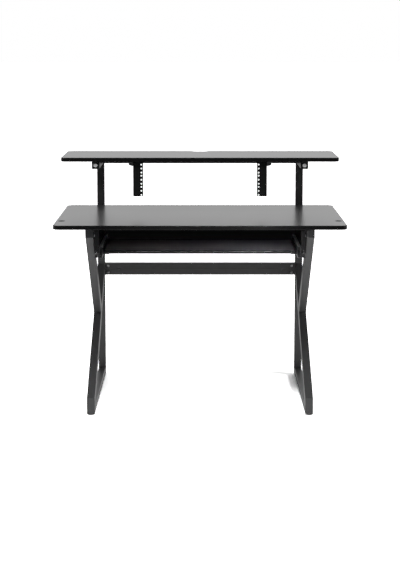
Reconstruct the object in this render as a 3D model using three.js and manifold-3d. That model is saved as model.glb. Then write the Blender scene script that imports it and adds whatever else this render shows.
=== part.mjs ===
import * as THREE from "three";
import { mergeVertices } from "three/addons/utils/BufferGeometryUtils.js";
import Module from "manifold-3d";

const wasm = await Module();
wasm.setup();

// Studio desk: a desktop on two welded tube frames, a shelf for monitors above its back half,
// a pair of rack rails under that shelf and a keyboard tray on telescopic slides.
// Millimetres. X runs to the right, Y from the front to the back, Z up from the floor.
// The origin is on the floor, in the middle of the desk's width and depth.

// Overall sizes
const deskWidth = 1100;
const deskDepth = 600;
const deskHeight = 727;
const shelfRise = 223;
const shelfDepth = 305;
const boardThickness = 16;

// Clearances and cutting allowances shared by all pieces
const seat = 0.3;
const overrun = 10;
const weldTolerance = 0.0001;

// Welded frames of square tube
const tubeSize = 30;
const tubeWall = 1.5;
const tubeCorner = 3;
const braceDepth = 40;
const legInset = 122;
const legFrontInset = 8;
const toeHeight = 68.5;
const toePlateThickness = 1.5;
const kinkSetback = 370;
const capThickness = 3;
const capWall = 2;
const capPlugLength = 6;

// Glides under the frames
const glideHeight = 4;
const glideDiameter = 22;
const glideEdge = 1;
const glideStemDiameter = 8;
const glideStemLength = 9;
const glideInset = 27;

// Boards
const deskCornerRadius = 25;
const shelfCornerRadius = 20;
const boardEdgeRadius = 1.5;
const notchWidth = 58;
const notchDepth = 24;
const notchCornerRadius = 8;

// Caps that close the accessory holes at the desktop's sides, flush in a shallow counterbore
const accessoryHoleDiameter = 20;
const accessoryHoleSetback = 126;
const accessoryHoleInset = 22;
const accessoryCapDiameter = 24;
const accessoryCapThickness = 1.2;
const accessoryCapEdge = 0.4;
const accessoryCapPlugLength = 10;
const accessoryCapWall = 2;

// Arms that carry the shelf, with their end bolts
const armSetback = 14;
const armBoltHeadDiameter = 16;
const armBoltHeadHeight = 4;
const armBoltFlangeHeight = 1.2;
const armBoltCrownDiameter = 10;
const armBoltShankDiameter = 8;
const armBoltLength = 24;
const armBoltSocketAcross = 5;
const armBoltSocketDepth = 2.5;

// Crossbar and its brackets
const crossbarTop = 481;
const crossbarHeight = 50;
const crossbarDepth = 25;
const crossbarSheet = 1.5;
const crossbarBend = 3;
const bracketSheet = 3;
const bracketLength = 72;
const bracketMargin = 2;
const crossbarHoleDiameter = 6.6;
const endHoleInset = 14;
const endHoleSpacing = 27;
const farHoleInset = 58;

// Rack rails, on the 19 inch pattern of three holes to a unit
const rackOpening = 450.9;
const rackHoleInset = 7.1;
const rackUnitHeight = 44.45;
const rackUnitCount = 3;
const rackOuterPitch = 15.875;
const rackHoleDiameter = 5.5;
const railBottomMargin = 6.35;
const railFlangeWidth = 40;
const railFoldDepth = 42;
const railSheet = 2;
const railBend = 3;
const railSetback = 20;
const railScrewDiameter = 4.5;
const railHangerWidth = 17;
const railHangerHeight = 19;
const railHangerLength = 60;
const railHangerCorner = 6;
const railHangerSlope = 2;
const railScrewShares = [1 / 3, 5 / 6];

// Keyboard tray
const trayThickness = 12;
const trayDepth = 280;
const trayGap = 88;
const traySetback = 60;
const trayEdgeRadius = 5;
const angleSheet = 2;
const angleFlange = 22;
const angleHeight = 23;
const angleSetback = 6;

// Brackets that hang the tray from the desktop
const hangerSheet = 2;
const hangerGap = 17;
const hangerSetback = 28;
const hangerLength = 312;
const hangerReach = 19;
const hangerFootWidth = 17;
const hangerFaceGap = 3;
const hangerFaceLift = 18;
const hangerHoleDiameter = 7;
const hangerHoleLift = 25.5;
const lugLength = 18;
const lugHeight = 22;
const hangerBoltSetback = 21.5;
const hangerBoltDrop = 24;
const hangerBoltDiameter = 6;
const hangerBoltLength = 9;
const hangerBoltHeadDiameter = 10.5;
const hangerBoltHeadHeight = 3.3;
const hangerBoltFlangeHeight = 1.1;
const hangerBoltCrownDiameter = 5;
const hangerBoltSocketAcross = 4;
const hangerBoltSocketDepth = 2;

// Panel behind the tray, on an angle at each end
const panelThickness = 16;
const panelHeight = 113;
const panelSetback = 420;
const panelEdgeRadius = 0.8;
const panelBracketSheet = 2;
const panelBracketWidth = 30;
const panelBracketHeight = 24;
const panelBracketMargin = 3;
const panelScrewDiameter = 4.5;

// Telescopic slides: outer, middle and inner members with two ball cages
const slideLength = 300;
const slideHeight = 45;
const slideThickness = 12.7;
const slideSheet = 1.2;
const slideDrop = 2;
const slideLip = 2.2;
const slideLipSetback = 0.9;
const slideFlangeEnd = 1.5;
const middleWebOffset = 3;
const innerFlangeWidth = 7.2;
const ballDiameter = 3;
const ballSetback = 7;
const cageSheet = 0.6;
const cageLength = 120;
const cageStart = 80;
const cageFlange = 8;
const cageWebOffset = 1.8;
const innerCageWebOffset = 4.9;
const ballPitch = 24;
const ballsInRow = 5;

// Places worked out from the sizes above
const shelfHeight = deskHeight + shelfRise;
const trayHeight = deskHeight - boardThickness - trayGap;
const overallDepth = deskDepth + seat + tubeSize;
const frontY = -overallDepth / 2;
const backY = overallDepth / 2;
const postFrontY = backY - tubeSize;
const legOuterX = deskWidth / 2 - legInset;
const legInnerX = legOuterX - tubeSize;
const legX = (legOuterX + legInnerX) / 2;
const legFrontY = frontY + legFrontInset;
const baseBottom = glideHeight;
const baseTop = baseBottom + tubeSize;
const topTubeTop = deskHeight - boardThickness - seat;
const topTubeBottom = topTubeTop - tubeSize;
const accessoryHoleX = deskWidth / 2 - accessoryHoleInset;
const shelfFrontY = backY - shelfDepth;
const armFrontY = shelfFrontY + armSetback + capThickness + seat;
const shelfTubeTop = shelfHeight - boardThickness - seat;
const shelfTubeBottom = shelfTubeTop - tubeSize;
const crossbarBottom = crossbarTop - crossbarHeight;
const hangerWebX = legInnerX - hangerGap - hangerSheet;
const slideX = hangerWebX - seat;
const angleX = slideX - slideThickness - seat;
const trayHalfWidth = angleX - angleSheet - seat;
const slideCentreHeight = trayHeight - slideDrop;
const hangerBottom = slideCentreHeight - hangerReach;
const trayFrontY = frontY + traySetback;
const traySlideFrontY = frontY + hangerSetback + hangerSheet;
const glideY = [legFrontY + glideInset, backY - glideInset];
const hangerBoltY = frontY + hangerBoltSetback;
const hangerBoltZ = topTubeTop - hangerBoltDrop;
const panelFrontY = frontY + panelSetback;

const powderCoat = new THREE.MeshStandardMaterial({ color: 0x1d1d1f, roughness: 0.5, metalness: 0.2 });
const laminate = new THREE.MeshStandardMaterial({ color: 0x26262a, roughness: 0.4, metalness: 0 });
const plastic = new THREE.MeshStandardMaterial({ color: 0x141415, roughness: 0.55, metalness: 0 });
const zinc = new THREE.MeshStandardMaterial({ color: 0xc4c6c9, roughness: 0.3, metalness: 0.9 });
const slideSteel = new THREE.MeshStandardMaterial({ color: 0x2c2c2f, roughness: 0.35, metalness: 0.8 });
const ballSteel = new THREE.MeshStandardMaterial({ color: 0x9a9da1, roughness: 0.25, metalness: 1 });

// Joins and cuts
function toSolid(geometry) {
  const bare = geometry.clone();
  bare.deleteAttribute("normal");
  bare.deleteAttribute("uv");
  const merged = mergeVertices(bare, weldTolerance);
  const triVerts = new Uint32Array(merged.index.array);
  const vertProperties = merged.attributes.position.array;
  return new wasm.Manifold(new wasm.Mesh({ numProp: 3, vertProperties, triVerts }));
}

function toGeometry(solid) {
  const mesh = solid.getMesh();
  const geometry = new THREE.BufferGeometry();
  geometry.setAttribute("position", new THREE.BufferAttribute(mesh.vertProperties, mesh.numProp));
  geometry.setIndex(new THREE.BufferAttribute(mesh.triVerts, 1));
  geometry.computeVertexNormals();
  return geometry;
}

function join(base, ...others) {
  return toGeometry(others.reduce((solid, other) => solid.add(toSolid(other)), toSolid(base)));
}

function cut(base, ...tools) {
  return toGeometry(tools.reduce((solid, tool) => solid.subtract(toSolid(tool)), toSolid(base)));
}

function keepInside(base, room) {
  return toGeometry(toSolid(base).intersect(toSolid(room)));
}

// Sections and how they are run out
const unitX = new THREE.Vector3(1, 0, 0);
const unitY = new THREE.Vector3(0, 1, 0);
const unitZ = new THREE.Vector3(0, 0, 1);

function roundedOutline(Kind, width, height, radius) {
  const x = width / 2 - radius;
  const y = height / 2 - radius;
  const outline = new Kind();
  outline.moveTo(-x, -y - radius);
  outline.absarc(x, -y, radius, -Math.PI / 2, 0, false);
  outline.absarc(x, y, radius, 0, Math.PI / 2, false);
  outline.absarc(-x, y, radius, Math.PI / 2, Math.PI, false);
  outline.absarc(-x, -y, radius, Math.PI, Math.PI * 1.5, false);
  return outline;
}

function tubeSection(width, height) {
  const section = roundedOutline(THREE.Shape, width, height, tubeCorner);
  const bore = roundedOutline(THREE.Path, width - 2 * tubeWall, height - 2 * tubeWall, tubeCorner - tubeWall);
  section.holes.push(bore);
  return section;
}

function outlineOf(points) {
  return new THREE.Shape(points.map(([x, y]) => new THREE.Vector2(x, y)));
}

function runOut(section, depth, curveSegments) {
  return new THREE.ExtrudeGeometry(section, { depth, curveSegments, bevelEnabled: false });
}

// A section drawn in X and Z, run from the front to the back.
function alongY(section, front, back, curveSegments = 2) {
  return runOut(section, back - front, curveSegments)
    .rotateX(Math.PI / 2)
    .translate(0, back, 0);
}

// A section drawn in Y and Z, run from left to right.
function alongX(section, left, right, curveSegments = 2) {
  return runOut(section, right - left, curveSegments)
    .applyMatrix4(new THREE.Matrix4().makeBasis(unitY, unitZ, unitX))
    .translate(left, 0, 0);
}

// A section drawn in X and Y, run from the bottom to the top.
function alongZ(section, bottom, top, curveSegments = 2) {
  return runOut(section, top - bottom, curveSegments).translate(0, 0, bottom);
}

function block(left, right, front, back, bottom, top) {
  return new THREE.BoxGeometry(right - left, back - front, top - bottom).translate(
    (left + right) / 2,
    (front + back) / 2,
    (bottom + top) / 2,
  );
}

// A round hole or pin along one axis, from low to high.
function rod(axis, diameter, low, high, sides = 16) {
  const geometry = new THREE.CylinderGeometry(diameter / 2, diameter / 2, high - low, sides);
  if (axis === "x") return geometry.rotateZ(Math.PI / 2).translate((low + high) / 2, 0, 0);
  if (axis === "y") return geometry.translate(0, (low + high) / 2, 0);
  return geometry.rotateX(Math.PI / 2).translate(0, 0, (low + high) / 2);
}

function squareTubeAlongY(front, back, bottom) {
  return alongY(tubeSection(tubeSize, tubeSize), front, back).translate(legX, 0, bottom + tubeSize / 2);
}

// A tube that leans in the plane of a leg frame. Its front face passes through start and end,
// given as [y, z], and its body lies to the right of the way from start to end.
function leaningTube(start, end) {
  const along = new THREE.Vector3(0, end[0] - start[0], end[1] - start[1]);
  const length = along.length();
  along.normalize();
  const inward = new THREE.Vector3(0, along.z, -along.y);
  const origin = new THREE.Vector3(legX, end[0], end[1])
    .addScaledVector(along, braceDepth)
    .addScaledVector(inward, braceDepth / 2);
  const placed = new THREE.Matrix4()
    .makeBasis(unitX, inward.clone().negate(), along.clone().negate())
    .setPosition(origin);
  return runOut(tubeSection(tubeSize, braceDepth), length + 2 * braceDepth, 2).applyMatrix4(placed);
}

// Leg frames: base tube, back post, top tube, long brace and front strut
const braceFoot = [legFrontY, toeHeight];
const braceHead = [postFrontY, crossbarTop];
const braceSlope = (braceHead[1] - braceFoot[1]) / (braceHead[0] - braceFoot[0]);
const kinkRise = braceSlope * (kinkSetback - legFrontInset);
const strutFoot = [frontY + kinkSetback, toeHeight + kinkRise];
const strutHead = [legFrontY, topTubeBottom];

function baseTube() {
  const tube = squareTubeAlongY(legFrontY + toePlateThickness + seat, backY - capThickness - seat, baseBottom);
  const holes = glideY.map((y) =>
    rod("z", glideStemDiameter + 2 * seat, baseBottom - overrun, baseBottom + tubeSize / 2).translate(legX, y, 0),
  );
  return cut(tube, ...holes);
}

function rearPost() {
  return alongZ(tubeSection(tubeSize, tubeSize), baseTop + seat, shelfTubeTop).translate(
    legX,
    postFrontY + tubeSize / 2,
    0,
  );
}

function topTube() {
  const tube = squareTubeAlongY(legFrontY + capThickness + seat, postFrontY - seat, topTubeBottom);
  const hole = rod("x", hangerBoltDiameter + 2 * seat, legInnerX - overrun, legX);
  return cut(tube, hole.translate(0, hangerBoltY, hangerBoltZ));
}

function longBrace() {
  const front = legFrontY + toePlateThickness + seat;
  const room = block(0, deskWidth, front, postFrontY - seat, baseTop + seat, deskHeight);
  return keepInside(leaningTube(braceFoot, braceHead), room);
}

function frontStrut() {
  const room = block(0, deskWidth, legFrontY, postFrontY, baseTop, topTubeBottom - seat);
  const lift = seat * Math.hypot(1, braceSlope);
  const underBrace = outlineOf([
    [braceFoot[0], braceFoot[1] + lift],
    [braceFoot[0], 0],
    [braceHead[0], 0],
    [braceHead[0], braceHead[1] + lift],
  ]);
  return cut(keepInside(leaningTube(strutFoot, strutHead), room), alongX(underBrace, 0, deskWidth));
}

function toePlate() {
  const section = roundedOutline(THREE.Shape, tubeSize, toeHeight - baseBottom, tubeCorner);
  return alongY(section, legFrontY, legFrontY + toePlateThickness).translate(
    legX,
    0,
    (toeHeight + baseBottom) / 2,
  );
}

// A push-in cap: a face as large as the tube and a hollow plug inside it, towards +Y from y.
function tubeCap(y, bottom, facesBack) {
  const inside = tubeSize - 2 * tubeWall - 2 * seat;
  const plug = roundedOutline(THREE.Shape, inside, inside, tubeCorner - tubeWall);
  plug.holes.push(roundedOutline(THREE.Path, inside - 2 * capWall, inside - 2 * capWall, tubeCorner - tubeWall));
  const face = alongY(roundedOutline(THREE.Shape, tubeSize, tubeSize, tubeCorner), 0, capThickness);
  const cap = join(face, alongY(plug, capThickness - tubeWall, capThickness + capPlugLength));
  if (facesBack) cap.rotateZ(Math.PI);
  return cap.translate(legX, y, bottom + tubeSize / 2);
}

function glide(y) {
  const profile = [
    [0, 0],
    [glideDiameter / 2 - glideEdge, 0],
    [glideDiameter / 2, glideEdge],
    [glideDiameter / 2, glideHeight - seat],
    [glideStemDiameter / 2, glideHeight - seat],
    [glideStemDiameter / 2, glideStemLength],
    [0, glideStemLength],
  ];
  return turned(profile).rotateX(Math.PI / 2).translate(legX, y, 0);
}

// A turned piece from [radius, height] points, standing on the lathe's own Y axis.
function turned(profile, sides = 20) {
  return new THREE.LatheGeometry(
    profile.map(([radius, height]) => new THREE.Vector2(radius, height)),
    sides,
  );
}

// Boards: laminated panels with rounded plan corners and slightly rounded edges
function board(outline, bottom, thickness, edge, curveSegments) {
  return new THREE.ExtrudeGeometry(outline, {
    depth: thickness - 2 * edge,
    bevelThickness: edge,
    bevelSize: edge,
    bevelOffset: -edge,
    bevelSegments: 2,
    curveSegments,
  }).translate(0, 0, bottom + edge);
}

function desktop() {
  const outline = roundedOutline(THREE.Shape, deskWidth, deskDepth, deskCornerRadius);
  const panel = board(outline, deskHeight - boardThickness, boardThickness, boardEdgeRadius, 4).translate(
    0,
    frontY + deskDepth / 2,
    0,
  );
  const bottom = deskHeight - boardThickness - overrun;
  const counterbore = deskHeight - accessoryCapThickness - seat;
  const top = deskHeight + overrun;
  const holes = [-accessoryHoleX, accessoryHoleX].flatMap((x) => [
    rod("z", accessoryHoleDiameter, bottom, top, 24).translate(x, frontY + accessoryHoleSetback, 0),
    rod("z", accessoryCapDiameter + 2 * seat, counterbore, top, 24).translate(
      x,
      frontY + accessoryHoleSetback,
      0,
    ),
  ]);
  return cut(panel, ...holes);
}

function upperShelf() {
  const outline = roundedOutline(THREE.Shape, deskWidth, shelfDepth, shelfCornerRadius);
  const panel = board(outline, shelfHeight - boardThickness, boardThickness, boardEdgeRadius, 4).translate(
    0,
    backY - shelfDepth / 2,
    0,
  );
  const notch = roundedOutline(THREE.Shape, notchWidth, 2 * notchDepth, notchCornerRadius);
  const tool = alongZ(notch, shelfHeight - boardThickness - overrun, shelfHeight + overrun, 3);
  return cut(panel, tool.translate(0, backY, 0));
}

function accessoryCap() {
  const inside = accessoryHoleDiameter / 2 - seat;
  const profile = [
    [0, -accessoryCapThickness],
    [inside - accessoryCapWall, -accessoryCapThickness],
    [inside - accessoryCapWall, -accessoryCapPlugLength],
    [inside, -accessoryCapPlugLength],
    [inside, -accessoryCapThickness],
    [accessoryCapDiameter / 2, -accessoryCapThickness],
    [accessoryCapDiameter / 2, -accessoryCapEdge],
    [accessoryCapDiameter / 2 - accessoryCapEdge, 0],
    [0, 0],
  ];
  return turned(profile, 24)
    .rotateX(Math.PI / 2)
    .translate(accessoryHoleX, frontY + accessoryHoleSetback, deskHeight);
}

// Shelf frame: two arms forward from the posts and a beam between the arms, against the posts' front,
// which leaves the shelf's cable notch open below
function shelfArm() {
  return squareTubeAlongY(armFrontY, postFrontY - seat, shelfTubeBottom);
}

function armCap() {
  const cap = tubeCap(armFrontY - seat - capThickness, shelfTubeBottom, false);
  const hole = rod("y", armBoltShankDiameter + 2 * seat, -overrun, overrun);
  return cut(cap, hole.translate(legX, armFrontY, shelfTubeBottom + tubeSize / 2));
}

// A round-headed bolt with a hexagon socket, its head towards the lathe's +Y.
function socketBolt(diameter, length, headDiameter, headHeight, flange, crown, across, socketDepth) {
  const head = turned([
    [0, -length],
    [diameter / 2, -length],
    [diameter / 2, 0],
    [headDiameter / 2, 0],
    [headDiameter / 2, flange],
    [(headDiameter + crown) / 4 + flange / 2, (flange + headHeight) / 2 + flange / 2],
    [crown / 2, headHeight],
    [0, headHeight],
  ]);
  const socket = new THREE.CylinderGeometry(
    across / Math.sqrt(3),
    across / Math.sqrt(3),
    2 * socketDepth,
    6,
  ).translate(0, headHeight, 0);
  return cut(head, socket);
}

function armBolt() {
  return socketBolt(
    armBoltShankDiameter,
    armBoltLength,
    armBoltHeadDiameter,
    armBoltHeadHeight,
    armBoltFlangeHeight,
    armBoltCrownDiameter,
    armBoltSocketAcross,
    armBoltSocketDepth,
  )
    .rotateX(Math.PI)
    .translate(legX, armFrontY - capThickness - 2 * seat, shelfTubeBottom + tubeSize / 2);
}

function shelfBeam() {
  const half = legInnerX - seat;
  return alongX(tubeSection(tubeSize, tubeSize), -half, half).translate(
    0,
    postFrontY - tubeSize / 2,
    shelfTubeBottom + tubeSize / 2,
  );
}

// Crossbar: a folded channel, open to the back, bolted to an angle on each post
function crossbarHoles() {
  const end = legInnerX - seat;
  const middle = (crossbarTop + crossbarBottom) / 2;
  return [
    [end - endHoleInset, middle + endHoleSpacing / 2],
    [end - endHoleInset, middle - endHoleSpacing / 2],
    [end - farHoleInset, middle],
  ];
}

// A folded strip: the outline of a sheet that follows [x, y] corners with its thickness inwards.
function channelSection(depth, height, sheet, bend) {
  const section = new THREE.Shape();
  section.moveTo(depth, -height / 2);
  section.lineTo(depth, -height / 2 + sheet);
  section.lineTo(sheet, -height / 2 + sheet);
  section.lineTo(sheet, height / 2 - sheet);
  section.lineTo(depth, height / 2 - sheet);
  section.lineTo(depth, height / 2);
  section.absarc(bend, height / 2 - bend, bend, Math.PI / 2, Math.PI, false);
  section.absarc(bend, -height / 2 + bend, bend, Math.PI, Math.PI * 1.5, false);
  return section;
}

function crossbar() {
  const half = legInnerX - seat;
  const section = channelSection(crossbarDepth, crossbarHeight, crossbarSheet, crossbarBend);
  const bar = alongX(section, -half, half).translate(0, postFrontY, (crossbarTop + crossbarBottom) / 2);
  const holes = [-1, 1].flatMap((side) =>
    crossbarHoles().map(([x, z]) =>
      rod("y", crossbarHoleDiameter, -overrun, overrun).translate(side * x, postFrontY, z),
    ),
  );
  return cut(bar, ...holes);
}

function crossbarBracket() {
  const end = legInnerX - seat;
  const front = postFrontY + crossbarSheet + seat;
  const back = postFrontY + crossbarDepth - bracketMargin;
  const bottom = crossbarBottom + crossbarSheet + bracketMargin;
  const top = crossbarTop - crossbarSheet - bracketMargin;
  const angle = outlineOf([
    [end, front],
    [end, back],
    [end - bracketSheet, back],
    [end - bracketSheet, front + bracketSheet],
    [end - bracketLength, front + bracketSheet],
    [end - bracketLength, front],
  ]);
  const holes = crossbarHoles().map(([x, z]) =>
    rod("y", crossbarHoleDiameter, front - overrun, front + overrun).translate(x, 0, z),
  );
  return cut(alongZ(angle, bottom, top), ...holes);
}

// Rack rails and the folded brackets that hang them from the shelf
const railInnerX = rackOpening / 2;
const railOuterX = railInnerX + railFlangeWidth;
const railFrontY = shelfFrontY + railSetback;
const railBottom = shelfTubeTop - rackUnitCount * rackUnitHeight - railBottomMargin;

function rackRail() {
  const section = new THREE.Shape();
  section.moveTo(railInnerX, railFrontY);
  section.lineTo(railOuterX - railBend, railFrontY);
  section.absarc(railOuterX - railBend, railFrontY + railBend, railBend, -Math.PI / 2, 0, false);
  section.lineTo(railOuterX, railFrontY + railFoldDepth);
  section.lineTo(railOuterX - railSheet, railFrontY + railFoldDepth);
  section.lineTo(railOuterX - railSheet, railFrontY + railSheet);
  section.lineTo(railInnerX, railFrontY + railSheet);
  const holes = [];
  for (let unit = 0; unit < rackUnitCount; unit += 1) {
    for (let hole = 0; hole < 3; hole += 1) {
      const z = railBottom + railBottomMargin + unit * rackUnitHeight + hole * rackOuterPitch;
      const drill = rod("y", rackHoleDiameter, -overrun, overrun, 12);
      holes.push(drill.translate(railInnerX + rackHoleInset, railFrontY, z));
    }
  }
  return cut(alongZ(section, railBottom, shelfTubeTop), ...holes);
}

function railHanger() {
  const left = railOuterX + seat;
  const right = left + railHangerWidth;
  const top = shelfTubeTop;
  const bottom = top - railHangerHeight;
  const face = outlineOf([
    [left, bottom],
    [right - railHangerCorner, bottom + railHangerSlope],
    [right, bottom + railHangerCorner],
    [right, top],
    [left, top],
  ]);
  const back = railFrontY + railHangerLength;
  const front = alongY(face, railFrontY, railFrontY + railSheet);
  const side = block(left, left + railSheet, railFrontY, back, bottom, top);
  const flange = block(left, right, railFrontY, back, top - railSheet, top);
  const screwX = (left + railSheet + right) / 2;
  const screws = railScrewShares.map((share) =>
    rod("z", railScrewDiameter, top - overrun, top + overrun, 12).translate(
      screwX,
      railFrontY + share * railHangerLength,
      0,
    ),
  );
  return cut(join(front, side, flange), ...screws);
}

// Keyboard tray: a board on an angle at each side
function keyboardTray() {
  const section = roundedOutline(THREE.Shape, trayDepth, trayThickness, trayEdgeRadius);
  return alongX(section, -trayHalfWidth, trayHalfWidth, 3).translate(
    0,
    trayFrontY + trayDepth / 2,
    trayHeight - trayThickness / 2,
  );
}

function trayAngle() {
  const under = trayHeight - trayThickness - seat;
  const section = outlineOf([
    [angleX, under - angleSheet],
    [angleX, under - angleSheet + angleHeight],
    [angleX - angleSheet, under - angleSheet + angleHeight],
    [angleX - angleSheet, under],
    [angleX - angleFlange, under],
    [angleX - angleFlange, under - angleSheet],
  ]);
  return alongY(section, trayFrontY + angleSetback, traySlideFrontY + slideLength);
}

// Tray brackets: folded plates from the desktop's underside down to the slides
function trayHanger() {
  const outer = legInnerX - seat;
  const front = frontY + hangerSetback;
  const back = front + hangerLength;
  const bottom = hangerBottom;
  const web = block(hangerWebX, hangerWebX + hangerSheet, front, back, bottom, topTubeTop);
  const top = block(hangerWebX, outer, front, back, topTubeTop - hangerSheet, topTubeTop);
  const foot = block(hangerWebX, hangerWebX + hangerFootWidth, front, back, bottom, bottom + hangerSheet);
  const faceOuter = legInnerX - hangerFaceGap;
  const face = block(hangerWebX, faceOuter, front, front + hangerSheet, bottom + hangerFaceLift, topTubeTop);
  const lugBottom = hangerBoltZ - lugHeight / 2;
  const lugTop = hangerBoltZ + lugHeight / 2;
  const lugRoot = block(hangerWebX, outer, front, front + hangerSheet, lugBottom, lugTop);
  const lug = block(outer - hangerSheet, outer, front - lugLength, front + hangerSheet, lugBottom, lugTop);
  const boltHole = rod("x", hangerBoltDiameter + 2 * seat, outer - overrun, outer + overrun);
  const faceHole = rod("y", hangerHoleDiameter, front - overrun, front + overrun);
  return cut(
    join(web, top, foot, face, lugRoot, lug),
    boltHole.translate(0, hangerBoltY, hangerBoltZ),
    faceHole.translate((hangerWebX + hangerSheet + faceOuter) / 2, 0, bottom + hangerHoleLift),
  );
}

function hangerBolt() {
  return socketBolt(
    hangerBoltDiameter,
    hangerBoltLength,
    hangerBoltHeadDiameter,
    hangerBoltHeadHeight,
    hangerBoltFlangeHeight,
    hangerBoltCrownDiameter,
    hangerBoltSocketAcross,
    hangerBoltSocketDepth,
  )
    .rotateZ(Math.PI / 2)
    .translate(legInnerX - hangerSheet - 2 * seat, hangerBoltY, hangerBoltZ);
}

// Panel behind the tray: a board under the desktop, between the frames' top tubes
function backPanel() {
  const end = legInnerX - seat;
  const section = roundedOutline(THREE.Shape, panelThickness, panelHeight, panelEdgeRadius);
  return alongX(section, -end, end).translate(
    0,
    panelFrontY + panelThickness / 2,
    topTubeTop - panelHeight / 2,
  );
}

function panelBracket() {
  const end = legInnerX - seat;
  const back = panelFrontY - seat;
  const top = topTubeTop - panelBracketMargin;
  const bottom = top - panelBracketHeight;
  const angle = outlineOf([
    [end, back],
    [end - panelBracketWidth, back],
    [end - panelBracketWidth, back - panelBracketSheet],
    [end - panelBracketSheet, back - panelBracketSheet],
    [end - panelBracketSheet, back - panelBracketWidth],
    [end, back - panelBracketWidth],
  ]);
  const middle = (top + bottom) / 2;
  const reach = panelBracketWidth / 2;
  const intoPanel = rod("y", panelScrewDiameter, back - reach, back + overrun, 12);
  const intoTube = rod("x", panelScrewDiameter, end - reach, end + overrun, 12);
  return cut(
    alongZ(angle, bottom, top),
    intoPanel.translate(end - reach, 0, middle),
    intoTube.translate(0, back - reach, middle),
  );
}

// Telescopic slides. Their sections are drawn from the bracket's web towards the tray, in
// x across and z up from the slide's middle, and turned over into place at slideX.
const outerFlange = slideHeight / 2;
const track = ballDiameter + 2 * seat;
const middleFlange = outerFlange - slideSheet - track;
const innerFlange = middleFlange - slideSheet - track;

function placeSlide(section, front, length) {
  return alongY(section, front, front + length)
    .rotateZ(Math.PI)
    .translate(slideX, 2 * front + length, slideCentreHeight);
}

function slideOuter() {
  const end = slideThickness - slideFlangeEnd;
  const upper = [
    [end - slideSheet, outerFlange - slideSheet],
    [end - slideSheet, outerFlange - slideSheet - slideLip],
    [end, outerFlange - slideSheet - slideLip],
    [end, outerFlange - slideLipSetback],
    [end - slideLipSetback, outerFlange],
    [slideSheet, outerFlange],
    [0, outerFlange - slideSheet],
  ];
  const lower = upper.map(([x, z]) => [x, -z]).reverse();
  const section = outlineOf([
    [slideSheet, outerFlange - slideSheet],
    ...upper,
    ...lower,
    [slideSheet, -outerFlange + slideSheet],
  ]);
  return placeSlide(section, traySlideFrontY, slideLength);
}

function slideMiddle() {
  const end = slideThickness - slideFlangeEnd;
  const section = channelSection(end - middleWebOffset, 2 * middleFlange, slideSheet, slideSheet);
  const moved = section.getPoints(1).map((point) => [point.x + middleWebOffset, point.y]);
  return placeSlide(outlineOf(moved), traySlideFrontY, slideLength);
}

function slideInner() {
  const section = channelSection(innerFlangeWidth, 2 * innerFlange, slideSheet, slideSheet);
  const turnedOver = section.getPoints(1).map((point) => [slideThickness - point.x, point.y]);
  return placeSlide(outlineOf(turnedOver.reverse()), traySlideFrontY, slideLength);
}

// A ball cage: a thin folded strip with a row of balls in each flange, drawn at the given
// distance of its web from the slide's back and of its ball rows from the slide's middle.
function ballCage(webOffset, rowHeight) {
  const section = channelSection(cageFlange, 2 * rowHeight + cageSheet, cageSheet, cageSheet);
  const moved = section.getPoints(1).map((point) => [point.x + webOffset, point.y]);
  const start = traySlideFrontY + cageStart;
  const strip = placeSlide(outlineOf(moved), start, cageLength);
  const firstBall = start + (cageLength - (ballsInRow - 1) * ballPitch) / 2;
  const balls = [];
  for (let index = 0; index < ballsInRow; index += 1) {
    for (const side of [-1, 1]) {
      const ball = new THREE.SphereGeometry(ballDiameter / 2, 6, 4);
      const x = slideX - webOffset - ballSetback + cageWebOffset;
      balls.push(ball.translate(x, firstBall + index * ballPitch, slideCentreHeight + side * rowHeight));
    }
  }
  return join(strip, ...balls);
}

function outerCage() {
  return ballCage(cageWebOffset, (outerFlange - slideSheet + middleFlange) / 2);
}

function innerCage() {
  return ballCage(innerCageWebOffset, (middleFlange - slideSheet + innerFlange) / 2);
}

// The desk put together
const desk = new THREE.Group();

function add(parent, name, geometry, material) {
  const mesh = new THREE.Mesh(geometry, material);
  mesh.name = name;
  parent.add(mesh);
}

add(desk, "desktop", desktop(), laminate);
add(desk, "upper_shelf", upperShelf(), laminate);
add(desk, "shelf_beam", shelfBeam(), powderCoat);
add(desk, "crossbar", crossbar(), powderCoat);
add(desk, "keyboard_tray", keyboardTray(), laminate);
add(desk, "back_panel", backPanel(), laminate);

// Pieces of one side, drawn for the right side. The left side is the same group mirrored.
const sidePieces = [
  ["base_tube", baseTube, powderCoat],
  ["rear_post", rearPost, powderCoat],
  ["top_tube", topTube, powderCoat],
  ["long_brace", longBrace, powderCoat],
  ["front_strut", frontStrut, powderCoat],
  ["toe_plate", toePlate, powderCoat],
  ["top_tube_cap", () => tubeCap(legFrontY, topTubeBottom, false), plastic],
  ["base_tube_cap", () => tubeCap(backY, baseBottom, true), plastic],
  ["front_glide", () => glide(glideY[0]), plastic],
  ["rear_glide", () => glide(glideY[1]), plastic],
  ["accessory_cap", accessoryCap, plastic],
  ["shelf_arm", shelfArm, powderCoat],
  ["arm_cap", armCap, plastic],
  ["arm_bolt", armBolt, zinc],
  ["crossbar_bracket", crossbarBracket, powderCoat],
  ["rack_rail", rackRail, powderCoat],
  ["rail_hanger", railHanger, powderCoat],
  ["tray_hanger", trayHanger, powderCoat],
  ["hanger_bolt", hangerBolt, zinc],
  ["panel_bracket", panelBracket, powderCoat],
  ["slide_outer", slideOuter, slideSteel],
  ["slide_middle", slideMiddle, slideSteel],
  ["slide_inner", slideInner, slideSteel],
  ["outer_ball_cage", outerCage, ballSteel],
  ["inner_ball_cage", innerCage, ballSteel],
  ["tray_angle", trayAngle, powderCoat],
];

for (const side of ["right", "left"]) {
  const group = new THREE.Group();
  if (side === "left") group.scale.set(-1, 1, 1);
  for (const [name, make, material] of sidePieces) add(group, `${side}_${name}`, make(), material);
  desk.add(group);
}

export default desk;
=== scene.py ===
import math

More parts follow.
